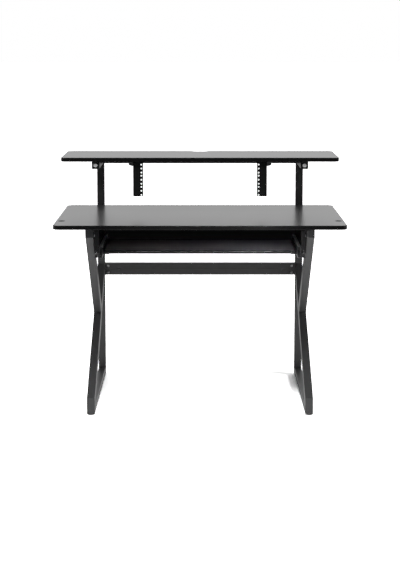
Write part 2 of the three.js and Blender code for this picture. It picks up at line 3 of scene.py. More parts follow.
import bmesh
import bpy
from mathutils import Matrix, Vector


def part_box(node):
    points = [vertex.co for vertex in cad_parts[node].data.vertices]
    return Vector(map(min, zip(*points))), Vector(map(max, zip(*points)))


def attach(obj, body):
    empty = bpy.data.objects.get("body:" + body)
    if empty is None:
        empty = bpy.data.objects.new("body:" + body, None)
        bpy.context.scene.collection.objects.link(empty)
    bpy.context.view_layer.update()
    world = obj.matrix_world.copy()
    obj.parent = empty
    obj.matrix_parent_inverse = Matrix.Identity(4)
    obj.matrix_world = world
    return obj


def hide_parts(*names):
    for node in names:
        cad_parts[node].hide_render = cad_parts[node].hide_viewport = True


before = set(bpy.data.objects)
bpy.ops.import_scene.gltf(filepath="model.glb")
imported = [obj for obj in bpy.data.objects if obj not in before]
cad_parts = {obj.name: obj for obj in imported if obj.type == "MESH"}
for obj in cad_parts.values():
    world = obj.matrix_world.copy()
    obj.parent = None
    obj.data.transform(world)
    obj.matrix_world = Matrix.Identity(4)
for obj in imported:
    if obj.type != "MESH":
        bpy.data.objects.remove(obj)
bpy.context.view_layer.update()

# Camera. It stands about five metres in front of the desk, at shoulder height, tilted down.
# A part of the photograph's vertical lens shift keeps the upright tubes nearly parallel.
image_height = 570
focal_pixels = 1335.4
optical_axis_row = 182
sensor = 36
camera_back, eye_height, tilt_down = 5.2304, 1.4475, 6.462
camera_data = bpy.data.cameras.new("camera")
camera_data.sensor_width = sensor
camera_data.lens = focal_pixels * sensor / image_height
camera_data.shift_y = (optical_axis_row - image_height / 2) / image_height
camera_data.clip_end = 60
camera = bpy.data.objects.new("camera", camera_data)
camera.location = (0, -camera_back, eye_height)
camera.rotation_euler = (math.radians(90 - tilt_down), 0, 0)
bpy.context.scene.collection.objects.link(camera)
bpy.context.scene.camera = camera


# Studio. White paper lies under and behind the desk, in a room that is white behind it and nearly
# dark in front, so that upright faces stay dark and level ones take a pale sheen. Soft boxes hang
# at the left, at the right and over the front, and three small gridded strips light the tray.
def feed(group, socket, term):
    """Gives an input a plain number, or links another node's socket to it."""
    if isinstance(term, (int, float)):
        socket.default_value = term
    else:
        group.links.new(term, socket)


def sum_node(group, operation, *terms):
    """A maths node whose inputs are sockets or plain numbers. Gives its result socket."""
    node = group.nodes.new("ShaderNodeMath")
    node.operation = operation
    for socket, term in zip(node.inputs, terms):
        feed(group, socket, term)
    return node.outputs[0]


def ramp_node(group, value, low, high, least=0.0, most=1.0, curve="LINEAR"):
    """A value that goes from least to most as another goes from low to high. Gives its socket."""
    ramp = group.nodes.new("ShaderNodeMapRange")
    ramp.interpolation_type = curve
    ramp.inputs["From Min"].default_value, ramp.inputs["From Max"].default_value = low, high
    ramp.inputs["To Min"].default_value, ramp.inputs["To Max"].default_value = least, most
    group.links.new(value, ramp.inputs["Value"])
    return ramp.outputs["Result"]


bpy.context.scene.view_settings.view_transform = "Standard"
world = bpy.data.worlds.new("studio")
world.use_nodes = True
bpy.context.scene.world = world
room = world.node_tree
room.nodes.clear()
toward = room.nodes.new("ShaderNodeTexCoord")
# A wall: the way it lies, where its light begins and is full, and how bright it is.
walls = {
    "back_wall": ((0.35, 0.94, 0), 0.2, 0.95, 1.0),
    "front_wall": ((0, -1, 0), 0.0, 0.9, 0.1),
}
wall_lights = []
for facing, dark_at, full_at, strength in walls.values():
    along = room.nodes.new("ShaderNodeVectorMath")
    along.operation = "DOT_PRODUCT"
    room.links.new(toward.outputs["Generated"], along.inputs[0])
    along.inputs[1].default_value = facing
    light = ramp_node(
        room, along.outputs["Value"], dark_at, full_at, most=strength, curve="SMOOTHSTEP"
    )
    wall_lights.append(light)
picture_white = 1.0
seen = room.nodes.new("ShaderNodeLightPath")
brightness = room.nodes.new("ShaderNodeMix")
brightness.data_type = "FLOAT"
room.links.new(seen.outputs["Is Camera Ray"], brightness.inputs["Factor"])
room.links.new(sum_node(room, "ADD", *wall_lights), brightness.inputs["A"])
brightness.inputs["B"].default_value = picture_white
backdrop = room.nodes.new("ShaderNodeBackground")
backdrop.inputs["Color"].default_value = (1, 1, 1, 1)
room.links.new(brightness.outputs["Result"], backdrop.inputs["Strength"])
world_output = room.nodes.new("ShaderNodeOutputWorld")
room.links.new(backdrop.outputs[0], world_output.inputs[0])

# The paper is exposed to pure white in the picture and glows at its far end, where the boxes'
# light runs out, so that only contact shadows are left. The light it throws back is raised too.
# It ends just in front of the picture, so that low reflections see the dim room.
paper_side, paper_front, paper_back = 30.0, -1.9, 60.0
floor_mesh = bpy.data.meshes.new("floor")
floor_mesh.from_pydata(
    [
        (-paper_side, paper_front, 0),
        (paper_side, paper_front, 0),
        (paper_side, paper_back, 0),
        (-paper_side, paper_back, 0),
    ],
    [],
    [(0, 1, 2, 3)],
)
floor = bpy.data.objects.new("floor", floor_mesh)
bpy.context.scene.collection.objects.link(floor)
paper_bounce, paper_shown = 1.7, 4.0
glow_from, glow_full = 1.1, 2.4
paper = bpy.data.materials.new("white_paper")
paper.use_nodes = True
tree = paper.node_tree
tree.nodes.clear()
ray = tree.nodes.new("ShaderNodeLightPath")
exposed = tree.nodes.new("ShaderNodeMix")
exposed.data_type = "FLOAT"
exposed.inputs["A"].default_value = paper_bounce
exposed.inputs["B"].default_value = paper_shown
tree.links.new(ray.outputs["Is Camera Ray"], exposed.inputs["Factor"])
paper_face = tree.nodes.new("ShaderNodeBsdfDiffuse")
tree.links.new(exposed.outputs["Result"], paper_face.inputs["Color"])
paper_place = tree.nodes.new("ShaderNodeNewGeometry")
reach = tree.nodes.new("ShaderNodeVectorMath")
reach.operation = "LENGTH"
tree.links.new(paper_place.outputs["Position"], reach.inputs[0])
far = ramp_node(tree, reach.outputs["Value"], glow_from, glow_full)
paper_glow = tree.nodes.new("ShaderNodeEmission")
seen_far = sum_node(tree, "MULTIPLY", far, ray.outputs["Is Camera Ray"])
tree.links.new(seen_far, paper_glow.inputs["Strength"])
paper_whole = tree.nodes.new("ShaderNodeAddShader")
tree.links.new(paper_face.outputs[0], paper_whole.inputs[0])
tree.links.new(paper_glow.outputs[0], paper_whole.inputs[1])
paper_output = tree.nodes.new("ShaderNodeOutputMaterial")
tree.links.new(paper_whole.outputs[0], paper_output.inputs["Surface"])
floor_mesh.materials.append(paper)

# A box: its place, its aim, its width and height, its watts, and its grid's spread in degrees.
soft_boxes = {
    "left_key": ((-2.3, -1.2, 2.6), (-0.3, 0, 0.6), 0.5, 0.5, 46, 180),
    "right_box": ((2.6, -0.6, 2.2), (0.2, 0, 0.4), 1.0, 1.0, 37, 180),
    "front_over_box": ((0.0, -1.3, 3.2), (0, -0.6, 0.0), 2.6, 1.2, 30, 180),
    "tray_strip_left": ((-0.2, -1.1, 1.0), (-0.18, -0.2, 0.63), 0.2, 0.05, 0.09, 24),
    "tray_strip_middle": ((0.03, -1.1, 1.0), (0.03, -0.2, 0.63), 0.2, 0.05, 0.11, 24),
    "tray_strip_right": ((0.25, -1.1, 1.0), (0.24, -0.2, 0.63), 0.2, 0.05, 0.29, 24),
}
for name, (place, aim, width, height, power, spread) in soft_boxes.items():
    light = bpy.data.lights.new(name, "AREA")
    light.shape = "RECTANGLE"
    light.size, light.size_y, light.energy = width, height, power
    light.spread = math.radians(spread)
    box = bpy.data.objects.new(name, light)
    box.location = place
    box.visible_camera = False
    box.rotation_euler = (Vector(aim) - Vector(place)).to_track_quat("-Z", "Y").to_euler()
    bpy.context.scene.collection.objects.link(box)


# Boards. The desktop and the upper shelf are particle board under black melamine, 16 mm thick,
# with round plan corners. Black plastic band, a little rounded over, is glued round their edges
# and leaves a fine seam where it meets the melamine.
def settle(piece, modifier):
    """Makes what a modifier gives the piece's own mesh."""
    evaluated = piece.evaluated_get(bpy.context.evaluated_depsgraph_get())
    piece.data = bpy.data.meshes.new_from_object(evaluated)
    piece.modifiers.remove(modifier)


def shade_by_angle(piece, angle=math.radians(35)):
    """Smooth shading that stays sharp where faces meet at more than the angle. Each corner leans
    to its largest faces, so that broad ones look flat right up to their rounded edges."""
    shaped = bmesh.new()
    shaped.from_mesh(piece.data)
    for face in shaped.faces:
        face.smooth = True
    for edge in shaped.edges:
        edge.smooth = len(edge.link_faces) == 2 and edge.calc_face_angle(0) < angle
    shaped.to_mesh(piece.data)
    shaped.free()
    even = piece.modifiers.new("even", "WEIGHTED_NORMAL")
    even.keep_sharp = True
    settle(piece, even)


def finish_piece(piece, body, slot, *nodes):
    """A finished piece moves with its body and stands for its nodes. Its slot is not used."""
    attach(piece, body)
    if nodes:
        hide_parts(*nodes)
    return piece


def new_piece(name, mesh, *materials):
    """A piece in the scene from a mesh that is already in its place."""
    for material in materials:
        mesh.materials.append(material)
    piece = bpy.data.objects.new(name, mesh)
    bpy.context.scene.collection.objects.link(piece)
    return piece


def outline_points(arcs, inset, steps):
    """A plan outline of arcs joined by straight lines, drawn in by the inset. An arc is (centre x,
    centre y, radius, first angle, last angle), and one that turns clockwise is hollow."""
    points = []
    for x, y, radius, first, last in arcs:
        reach = radius - inset if last > first else radius + inset
        for step in range(steps + 1):
            angle = math.radians(first + (last - first) * step / steps)
            points.append((x + reach * math.cos(angle), y + reach * math.sin(angle)))
    return points


def corner_arcs(low, high, radius):
    """The four corners of a board, counted from the front right."""
    return [
        (high[0] - radius, low[1] + radius, radius, -90, 0),
        (high[0] - radius, high[1] - radius, radius, 0, 90),
        (low[0] + radius, high[1] - radius, radius, 90, 180),
        (low[0] + radius, low[1] + radius, radius, 180, 270),
    ]


seam_width, seam_depth = 0.0003, 0.00012
top_face, band_face, under_face = 0, 1, 2


def board(name, arcs, bottom, top, edge, materials, steps=10, edge_steps=4):
    """A board with rounded edges and a seam, from rings of its plan outline drawn in at each edge."""
    levels = []
    for step in range(edge_steps + 1):
        turn = math.radians(90 * step / edge_steps)
        levels.append((edge * (1 - math.sin(turn)), edge * (1 - math.cos(turn))))
    seam = [(edge + 2 * seam_width, 0), (edge + seam_width, seam_depth)]
    rings = [(inset, bottom + rise) for inset, rise in seam + levels]
    rings += [(inset, top - rise) for inset, rise in reversed(seam + levels)]
    made = bmesh.new()
    loops = []
    for inset, z in rings:
        outline = outline_points(arcs, inset, steps)
        loops.append([made.verts.new((x, y, z)) for x, y in outline])
    for lower, upper in zip(loops, loops[1:]):
        for index in range(len(lower)):
            after = (index + 1) % len(lower)
            strip = made.faces.new((lower[index], lower[after], upper[after], upper[index]))
            strip.material_index = band_face
    made.faces.new(list(reversed(loops[0]))).material_index = under_face
    made.faces.new(loops[-1]).material_index = top_face
    bmesh.ops.remove_doubles(made, verts=made.verts, dist=1e-6)
    mesh = bpy.data.meshes.new(name)
    made.to_mesh(mesh)
    made.free()
    return new_piece(name, mesh, *materials)


def group_tree(name, kind, sockets, results):
    """A node group with named inputs, their default values, and named outputs."""
    group = bpy.data.node_groups.new(name, kind)
    for socket_name, socket_kind, value in sockets:
        socket = group.interface.new_socket(
            name=socket_name, in_out="INPUT", socket_type="NodeSocket" + socket_kind
        )
        if value is not None:
            socket.default_value = value
    for socket_name, socket_kind in results:
        group.interface.new_socket(
            name=socket_name, in_out="OUTPUT", socket_type="NodeSocket" + socket_kind
        )
    return group, group.nodes.new("NodeGroupInput"), group.nodes.new("NodeGroupOutput")


def noise_node(group, place, scale, detail):
    """A noise over a place socket. Gives its value socket."""
    noise = group.nodes.new("ShaderNodeTexNoise")
    noise.inputs["Detail"].default_value = detail
    group.links.new(place, noise.inputs["Vector"])
    feed(group, noise.inputs["Scale"], scale)
    return noise.outputs["Fac"]


def grain_group():
    """Pressed or moulded grain: a small bump, and a slow drift in colour and in gloss."""
    sockets = (
        ("Color", "Color", (0.02, 0.02, 0.02, 1)),
        ("Drift", "Float", 0.15),
        ("Roughness", "Float", 0.4),
        ("Gloss Drift", "Float", 0.06),
        ("Grain Size", "Float", 0.001),
        ("Grain Depth", "Float", 0.00003),
        ("Stretch", "Vector", (1, 1, 1)),
    )
    results = (("Color", "Color"), ("Roughness", "Float"), ("Normal", "Vector"))
    group, entry, leave = group_tree("fine_grain", "ShaderNodeTree", sockets, results)
    place = group.nodes.new("ShaderNodeTexCoord")
    stretched = group.nodes.new("ShaderNodeVectorMath")
    stretched.operation = "MULTIPLY"
    group.links.new(place.outputs["Object"], stretched.inputs[0])
    group.links.new(entry.outputs["Stretch"], stretched.inputs[1])
    per_metre = sum_node(group, "DIVIDE", 1, entry.outputs["Grain Size"])
    grain = noise_node(group, stretched.outputs[0], per_metre, detail=3)
    drifts_per_metre = 9
    slow = noise_node(group, place.outputs["Object"], drifts_per_metre, detail=4)
    both = sum_node(group, "ADD", grain, slow)
    centred = sum_node(group, "SUBTRACT", both, 1)
    swing = sum_node(group, "MULTIPLY", centred, entry.outputs["Drift"])
    tinted = group.nodes.new("ShaderNodeVectorMath")
    tinted.operation = "SCALE"
    group.links.new(entry.outputs["Color"], tinted.inputs[0])
    group.links.new(sum_node(group, "MULTIPLY_ADD", swing, 2, 1), tinted.inputs["Scale"])
    group.links.new(tinted.outputs[0], leave.inputs["Color"])
    gloss = sum_node(group, "MULTIPLY", centred, entry.outputs["Gloss Drift"])
    roughness = sum_node(group, "ADD", gloss, entry.outputs["Roughness"])
    group.links.new(roughness, leave.inputs["Roughness"])
    relief = group.nodes.new("ShaderNodeBump")
    group.links.new(grain, relief.inputs["Height"])
    group.links.new(entry.outputs["Grain Depth"], relief.inputs["Distance"])
    group.links.new(relief.outputs[0], leave.inputs["Normal"])
    return group


fine_grain = grain_group()


def grained(name, color, roughness, grain_size, grain_depth, metallic=0.0, specular=0.5, **extra):
    """A material whose colour, gloss and bump come from the fine grain group. The extra names are
    the group's other inputs: drift, gloss_drift and stretch."""
    material = bpy.data.materials.new(name)
    material.use_nodes = True
    tree = material.node_tree
    surface = tree.nodes["Principled BSDF"]
    surface.inputs["Metallic"].default_value = metallic
    surface.inputs["Specular IOR Level"].default_value = specular
    grain = tree.nodes.new("ShaderNodeGroup")
    grain.node_tree = fine_grain
    grain.inputs["Color"].default_value = (*color, 1)
    grain.inputs["Roughness"].default_value = roughness
    grain.inputs["Grain Size"].default_value = grain_size
    grain.inputs["Grain Depth"].default_value = grain_depth
    for key, value in extra.items():
        grain.inputs[key.replace("_", " ").title()].default_value = value
    tree.links.new(grain.outputs["Color"], surface.inputs["Base Color"])
    tree.links.new(grain.outputs["Roughness"], surface.inputs["Roughness"])
    tree.links.new(grain.outputs["Normal"], surface.inputs["Normal"])
    return material


laminate = grained(
    "black_laminate",
    color=(0.045, 0.045, 0.046),
    roughness=0.28,
    grain_size=0.0009,
    grain_depth=0.000002,
    drift=0.06,
    gloss_drift=0.015,
)
edge_band = grained(
    "edge_band",
    color=(0.004, 0.004, 0.0042),
    roughness=0.2,
    grain_size=0.0007,
    grain_depth=0.00001,
    specular=0.3,
    stretch=(0.2, 0.2, 1),
)
underside = grained(
    "underside_laminate",
    color=(0.02, 0.02, 0.021),
    roughness=0.5,
    grain_size=0.0012,
    grain_depth=0.00003,
)
board_materials = (laminate, edge_band, underside)

desk_corner, shelf_corner, board_edge = 0.025, 0.020, 0.0015
desk_low, desk_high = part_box("desktop")
desktop = board(
    "desktop_board",
    corner_arcs(desk_low, desk_high, desk_corner),
    desk_low.z,
    desk_high.z,
    board_edge,
    board_materials,
)


def cut_out(piece, cutter):
    """Cuts a closed mesh out of a piece and clears the slivers that the cut leaves."""
    sliver = 5e-6
    tool = new_piece("cutter", cutter)
    cut = piece.modifiers.new("cut", "BOOLEAN")
    cut.operation, cut.object, cut.solver = "DIFFERENCE", tool, "EXACT"
    settle(piece, cut)
    bpy.data.objects.remove(tool)
    cleared = bmesh.new()
    cleared.from_mesh(piece.data)
    bmesh.ops.dissolve_degenerate(cleared, edges=cleared.edges, dist=sliver)
    cleared.to_mesh(piece.data)
    cleared.free()


def prism(outline, low, high, taper=1.0, face=0):
    """A closed upright prism over an outline, its low end scaled by the taper. What it cuts
    shows the material that the face number names."""
    made = bmesh.new()
    lower = [made.verts.new((x * taper, y * taper, low)) for x, y in outline]
    upper = [made.verts.new((x, y, high)) for x, y in outline]
    made.faces.new(list(reversed(lower)))
    made.faces.new(upper)
    for index in range(len(outline)):
        after = (index + 1) % len(outline)
        made.faces.new((lower[index], lower[after], upper[after], upper[index]))
    for cut_face in made.faces:
        cut_face.material_index = face
    mesh = bpy.data.meshes.new("prism")
    made.to_mesh(mesh)
    made.free()
    return mesh


def ring_outline(radius, corners, x=0.0, y=0.0):
    """A regular outline round a centre."""
    turns = [2 * math.pi * k / corners for k in range(corners)]
    return [(x + radius * math.cos(turn), y + radius * math.sin(turn)) for turn in turns]


# Accessory holes go through the desktop near its side edges. Each has a shallow seat at the top
# that holds the rim of a flush black cap.
sides = {"left": -1, "right": 1}
cap_low, cap_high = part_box("right_accessory_cap")
cap_x, cap_y = (cap_low.x + cap_high.x) / 2, (cap_low.y + cap_high.y) / 2
cap_radius = (cap_high.x - cap_low.x) / 2
hole_radius, seat_depth, cap_play, overrun = 0.010, 0.0018, 0.0011, 0.01
for way in sides.values():
    seat = ring_outline(cap_radius + cap_play, corners=64, x=way * cap_x, y=cap_y)
    cut_out(desktop, prism(seat, desk_high.z - seat_depth, desk_high.z + overrun, face=band_face))
    hole = ring_outline(hole_radius, corners=48, x=way * cap_x, y=cap_y)
    cut_out(desktop, prism(hole, desk_low.z - overrun, desk_high.z + overrun, face=band_face))
shade_by_angle(desktop)
finish_piece(desktop, "frame", "laminate", "desktop")

# Upper shelf. The same board as the desktop, half as deep, with a rounded notch for cables
# cut into the middle of its back edge.
shelf_low, shelf_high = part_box("upper_shelf")
notch_half, notch_depth, notch_corner, notch_lip = 0.029, 0.024, 0.008, 0.003
notch_y = shelf_high.y - notch_depth + notch_corner
notch_arcs = [
    (notch_half + notch_lip, shelf_high.y - notch_lip, notch_lip, 90, 180),
    (notch_half - notch_corner, notch_y, notch_corner, 360, 270),
    (-notch_half + notch_corner, notch_y, notch_corner, 270, 180),
    (-notch_half - notch_lip, shelf_high.y - notch_lip, notch_lip, 0, 90),
]
shelf_arcs = corner_arcs(shelf_low, shelf_high, shelf_corner)
shelf = board(
    "shelf_board",
    shelf_arcs[:2] + notch_arcs + shelf_arcs[2:],
    shelf_low.z,
    shelf_high.z,
    board_edge,
    board_materials,
)
shade_by_angle(shelf)
finish_piece(shelf, "frame", "laminate", "upper_shelf")

# Back panel. A plain board in matt black that closes the space behind the tray, between the top
# tubes; its near-black coat, which barely reflects, is partly painted shade for the deep shade
# there. A folded bracket at each end holds it to the tube.
# Near-black and barely reflecting: partly painted shade for the deep shade behind the tray.
panel_board = grained(
    "panel_board",
    color=(0.002, 0.002, 0.002),
    roughness=0.9,
    grain_size=0.0012,
    grain_depth=0.00004,
    specular=0.05,
)
panel_low, panel_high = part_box("back_panel")
panel_edge, panel_corner = 0.0008, 0.002
panel = board(
    "panel_board",
    corner_arcs(panel_low, panel_high, panel_corner),
    panel_low.z,
    panel_high.z,
    panel_edge,
    (panel_board, panel_board, panel_board),
    steps=2,
    edge_steps=2,
)
shade_by_angle(panel)
finish_piece(panel, "frame", "laminate", "back_panel")


# Leg frames, shelf arms and beam. Steel tube with 1.5 mm walls, cut to fit, welded, and
# powder-coated satin black, glossier on the arms and the beam. The coating is a little thin,
# and so a little paler, on the edges.
def wear_group():
    """Edges rubbed by handling: paler all along, and bare in a few small patches."""
    sockets = (
        ("Color", "Color", (0.02, 0.02, 0.02, 1)),
        ("Roughness", "Float", 0.4),
        ("Worn Color", "Color", (0.1, 0.1, 0.1, 1)),
        ("Worn Roughness", "Float", 0.3),
        ("Amount", "Float", 0.5),
    )
    group, entry, leave = group_tree(
        "worn_edges", "ShaderNodeTree", sockets, (("Color", "Color"), ("Roughness", "Float"))
    )
    edge = group.nodes.new("ShaderNodeAttribute")
    edge.attribute_name = "edge"
    place = group.nodes.new("ShaderNodeTexCoord")
    patches_per_metre, patch_from, patch_full, least_worn = 70, 0.42, 0.66, 0.25
    patchy = noise_node(group, place.outputs["Object"], patches_per_metre, detail=5)
    patches = ramp_node(group, patchy, patch_from, patch_full, least=least_worn)
    strength = sum_node(group, "MULTIPLY", patches, entry.outputs["Amount"])
    mask = sum_node(group, "MULTIPLY", strength, edge.outputs["Fac"])
    color = group.nodes.new("ShaderNodeMix")
    color.data_type = "RGBA"
    group.links.new(mask, color.inputs["Factor"])
    group.links.new(entry.outputs["Color"], color.inputs["A"])
    group.links.new(entry.outputs["Worn Color"], color.inputs["B"])
    group.links.new(color.outputs["Result"], leave.inputs["Color"])
    gloss = group.nodes.new("ShaderNodeMix")
    group.links.new(mask, gloss.inputs["Factor"])
    group.links.new(entry.outputs["Roughness"], gloss.inputs["A"])
    group.links.new(entry.outputs["Worn Roughness"], gloss.inputs["B"])
    group.links.new(gloss.outputs["Result"], leave.inputs["Roughness"])
    return group


worn_edges = wear_group()


def wear_in(material, color, roughness, amount):
    """Puts the worn edges between a grained material's grain and its surface."""
    tree = material.node_tree
    surface = tree.nodes["Principled BSDF"]
    grain = next(node for node in tree.nodes if node.type == "GROUP")
    wear = tree.nodes.new("ShaderNodeGroup")
    wear.node_tree = worn_edges
    wear.inputs["Worn Color"].default_value = (*color, 1)
    wear.inputs["Worn Roughness"].default_value = roughness
    wear.inputs["Amount"].default_value = amount
    for channel, target in (("Color", "Base Color"), ("Roughness", "Roughness")):
        tree.links.new(grain.outputs[channel], wear.inputs[channel])
        tree.links.new(wear.outputs[channel], surface.inputs[target])


powder = grained(
    "powder_coat",
    color=(0.035, 0.035, 0.036),
    roughness=0.42,
    grain_size=0.0016,
    grain_depth=0.00005,
    drift=0.12,
)
wear_in(powder, color=(0.09, 0.09, 0.092), roughness=0.36, amount=0.35)


def dressed(node, body, material, slot, bevel=0.0004):
    """A finished copy of a rigid piece: one closed skin with softened edges, which are marked for
    the wear. The bevel is the width of the softened edge."""
    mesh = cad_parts[node].data.copy()
    mesh.materials.clear()
    skin = bmesh.new()
    skin.from_mesh(mesh)
    bmesh.ops.remove_doubles(skin, verts=skin.verts, dist=1e-5)
    bmesh.ops.dissolve_limit(skin, angle_limit=math.radians(1), verts=skin.verts, edges=skin.edges)
    for face in skin.faces:
        face.material_index = 0
    skin.to_mesh(mesh)
    skin.free()
    piece = new_piece(node + "_finished", mesh, material)
    if bevel:
        # The softened faces take a second material for a moment, so that they can be told apart.
        soften = piece.modifiers.new("soften", "BEVEL")
        soften.width, soften.segments = bevel, 2
        soften.limit_method, soften.angle_limit = "ANGLE", math.radians(40)
        soften.use_clamp_overlap = True
        soften.material = 1
        mesh.materials.append(material)
        settle(piece, soften)
        edge = piece.data.attributes.new("edge", "FLOAT", "CORNER")
        marks = [0.0] * len(piece.data.loops)
        for face in piece.data.polygons:
            if face.material_index == 1:
                for loop in face.loop_indices:
                    marks[loop] = 1.0
                face.material_index = 0
        edge.data.foreach_set("value", marks)
        piece.data.materials.pop()
    shade_by_angle(piece)
    return finish_piece(piece, body, slot, node)


smooth_powder = grained(
    "smooth_powder_coat",
    color=(0.04, 0.04, 0.041),
    roughness=0.27,
    grain_size=0.0016,
    grain_depth=0.00002,
    drift=0.12,
)
wear_in(smooth_powder, color=(0.09, 0.09, 0.092), roughness=0.3, amount=0.35)
tubes = "base_tube rear_post top_tube long_brace front_strut toe_plate".split()
for side in sides:
    for node in tubes:
        dressed(f"{side}_{node}", "frame", powder, "powder_coat")
    dressed(f"{side}_shelf_arm", "frame", smooth_powder, "powder_coat")
dressed("shelf_beam", "frame", smooth_powder, "powder_coat")


def weld_tree():
    """A bead along any edges: a swept tube that swells and drops again at every step of the arc."""
    sockets = (
        ("Seams", "Geometry", None),
        ("Bead Radius", "Float", 0.0014),
        ("Ripple Pitch", "Float", 0.0022),
        ("Ripple Depth", "Float", 0.3),
        ("Finish", "Material", None),
    )
    group, entry, leave = group_tree(
        "weld_bead", "GeometryNodeTree", sockets, (("Beads", "Geometry"),)
    )
    seam = group.nodes.new("GeometryNodeMeshToCurve")
    group.links.new(entry.outputs["Seams"], seam.inputs["Mesh"])
    even = group.nodes.new("GeometryNodeResampleCurve")
    even.mode = "LENGTH"
    group.links.new(seam.outputs["Curve"], even.inputs["Curve"])
    points_per_ripple = 4
    step = sum_node(group, "DIVIDE", entry.outputs["Ripple Pitch"], points_per_ripple)
    group.links.new(step, even.inputs["Length"])
    run = group.nodes.new("GeometryNodeSplineParameter")
    ripples = sum_node(group, "DIVIDE", run.outputs["Length"], entry.outputs["Ripple Pitch"])
    phase = sum_node(group, "FRACT", ripples)
    drop = sum_node(group, "MULTIPLY", phase, entry.outputs["Ripple Depth"])
    swell = sum_node(group, "SUBTRACT", 1, drop)
    radius = sum_node(group, "MULTIPLY", swell, entry.outputs["Bead Radius"])
    profile = group.nodes.new("GeometryNodeCurvePrimitiveCircle")
    profile.inputs["Resolution"].default_value = 8
    profile.inputs["Radius"].default_value = 1
    sweep = group.nodes.new("GeometryNodeCurveToMesh")
    sweep.inputs["Fill Caps"].default_value = True
    group.links.new(even.outputs["Curve"], sweep.inputs["Curve"])
    group.links.new(profile.outputs["Curve"], sweep.inputs["Profile Curve"])
    group.links.new(radius, sweep.inputs["Scale"])
    smooth = group.nodes.new("GeometryNodeSetShadeSmooth")
    group.links.new(sweep.outputs["Mesh"], smooth.inputs["Geometry"])
    whole = group.nodes.new("GeometryNodeRealizeInstances")
    group.links.new(smooth.outputs["Geometry"], whole.inputs["Geometry"])
    painted = group.nodes.new("GeometryNodeSetMaterial")
    group.links.new(whole.outputs["Geometry"], painted.inputs["Geometry"])
    group.links.new(entry.outputs["Finish"], painted.inputs["Material"])
    group.links.new(painted.outputs["Geometry"], leave.inputs["Beads"])
    return group


def grown(name, mesh, tree, settings, body, slot):
    """Runs a tree over a mesh of points or edges and keeps the result as one plain piece."""
    piece = new_piece(name, mesh)
    maker = piece.modifiers.new("maker", "NODES")
    maker.node_group = tree
    for socket in tree.interface.items_tree:
        if socket.item_type == "SOCKET" and socket.in_out == "INPUT" and socket.name in settings:
            maker[socket.identifier] = settings[socket.name]
    settle(piece, maker)
    finish_piece(piece, body, slot)


tube_corner, bead_inset, joint_play, end_zone = 0.003, 0.0005, 0.00015, 0.0004
bare_margin = 75


def weld_path(node, facing, bare=None):
    """The outline of a tube's end, found on the solid, as a line of points for the weld, and
    whether it is closed. Where a bare direction is given, the line is open: it starts the bare
    margin, in degrees, past that side of the tube and ends as far before it."""
    facing = Vector(facing).normalized()
    solid = [vertex.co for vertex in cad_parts[node].data.vertices]
    reach = max(point.dot(facing) for point in solid)
    end = [point for point in solid if point.dot(facing) > reach - end_zone]
    across = Vector((1, 0, 0)) if abs(facing.x) < 0.5 else Vector((0, 1, 0))
    along = facing.cross(across)
    spans = []
    for axis in (across, along):
        values = [point.dot(axis) for point in end]
        spans.append((min(values) + bead_inset, max(values) - bead_inset))
    (low_u, high_u), (low_w, high_w) = spans
    first, turn, steps = 0, 360, 24
    if bare:
        angle = math.degrees(math.atan2(Vector(bare).dot(along), Vector(bare).dot(across)))
        first, turn, steps = round(angle / 90) * 90 + bare_margin, 360 - 2 * bare_margin, 15
    points = []
    for step in range(steps + 1 if bare else steps):
        heading = math.radians(first + turn * step / steps)
        u, w = math.cos(heading), math.sin(heading)
        corner_u = (high_u - tube_corner) if u > 0 else (low_u + tube_corner)
        corner_w = (high_w - tube_corner) if w > 0 else (low_w + tube_corner)
        points.append((corner_u + tube_corner * u, corner_w + tube_corner * w))
    return [u * across + w * along + (reach + joint_play) * facing for u, w in points], bare is None


# A seam: the tube, the way its end faces, and the side that has no weld. The strut's foot faces
# square into the long brace.
brace_down = (0, 0.5715, -0.8206)
seams = (
    ("top_tube", (0, 1, 0), (0, 0, 1)),
    ("rear_post", (0, 0, -1), (0, 1, 0)),
    ("long_brace", (0, 1, 0), None),
    ("long_brace", (0, 0, -1), (0, -1, 0)),
    ("front_strut", (0, 0, 1), None),
    ("front_strut", brace_down, None),
    ("shelf_arm", (0, 1, 0), (0, 0, 1)),
)
weld_bead = weld_tree()
for side in sides:
    paths = [weld_path(f"{side}_{node}", facing, bare) for node, facing, bare in seams]
    paths.append(weld_path("shelf_beam", (sides[side], 0, 0), (0, 0, 1)))
    points, edges = [], []
    for path, closed in paths:
        first = len(points)
        points += path
        edges += [(first + k, first + k + 1) for k in range(len(path) - 1)]
        if closed:
            edges.append((len(points) - 1, first))
    mesh = bpy.data.meshes.new("seams")
    mesh.from_pydata(points, edges, [])
    grown(f"{side}_welds", mesh, weld_bead, {"Finish": powder}, "frame", "powder_coat")

# Crossbar. A folded channel between the posts, open to the back, screwed to an angle on each post.
# It, its angles and the panel brackets have the leg frames' coating painted darker, as painted
# shade.
# A darker copy of the frames' powder coat: painted shade.
sheet_powder_painted_shade = grained(
    "sheet_coat_painted_shade",
    color=(0.027, 0.027, 0.028),
    roughness=0.42,
    grain_size=0.0016,
    grain_depth=0.00005,
    drift=0.12,
)
wear_in(sheet_powder_painted_shade, color=(0.09, 0.09, 0.092), roughness=0.36, amount=0.35)
sheet_bevel = 0.0003
for side in sides:
    for node in ("crossbar_bracket", "panel_bracket"):
        dressed(f"{side}_{node}", "frame", sheet_powder_painted_shade, "powder_coat", bevel=sheet_bevel)
dressed("crossbar", "frame", sheet_powder_painted_shade, "powder_coat", bevel=sheet_bevel)
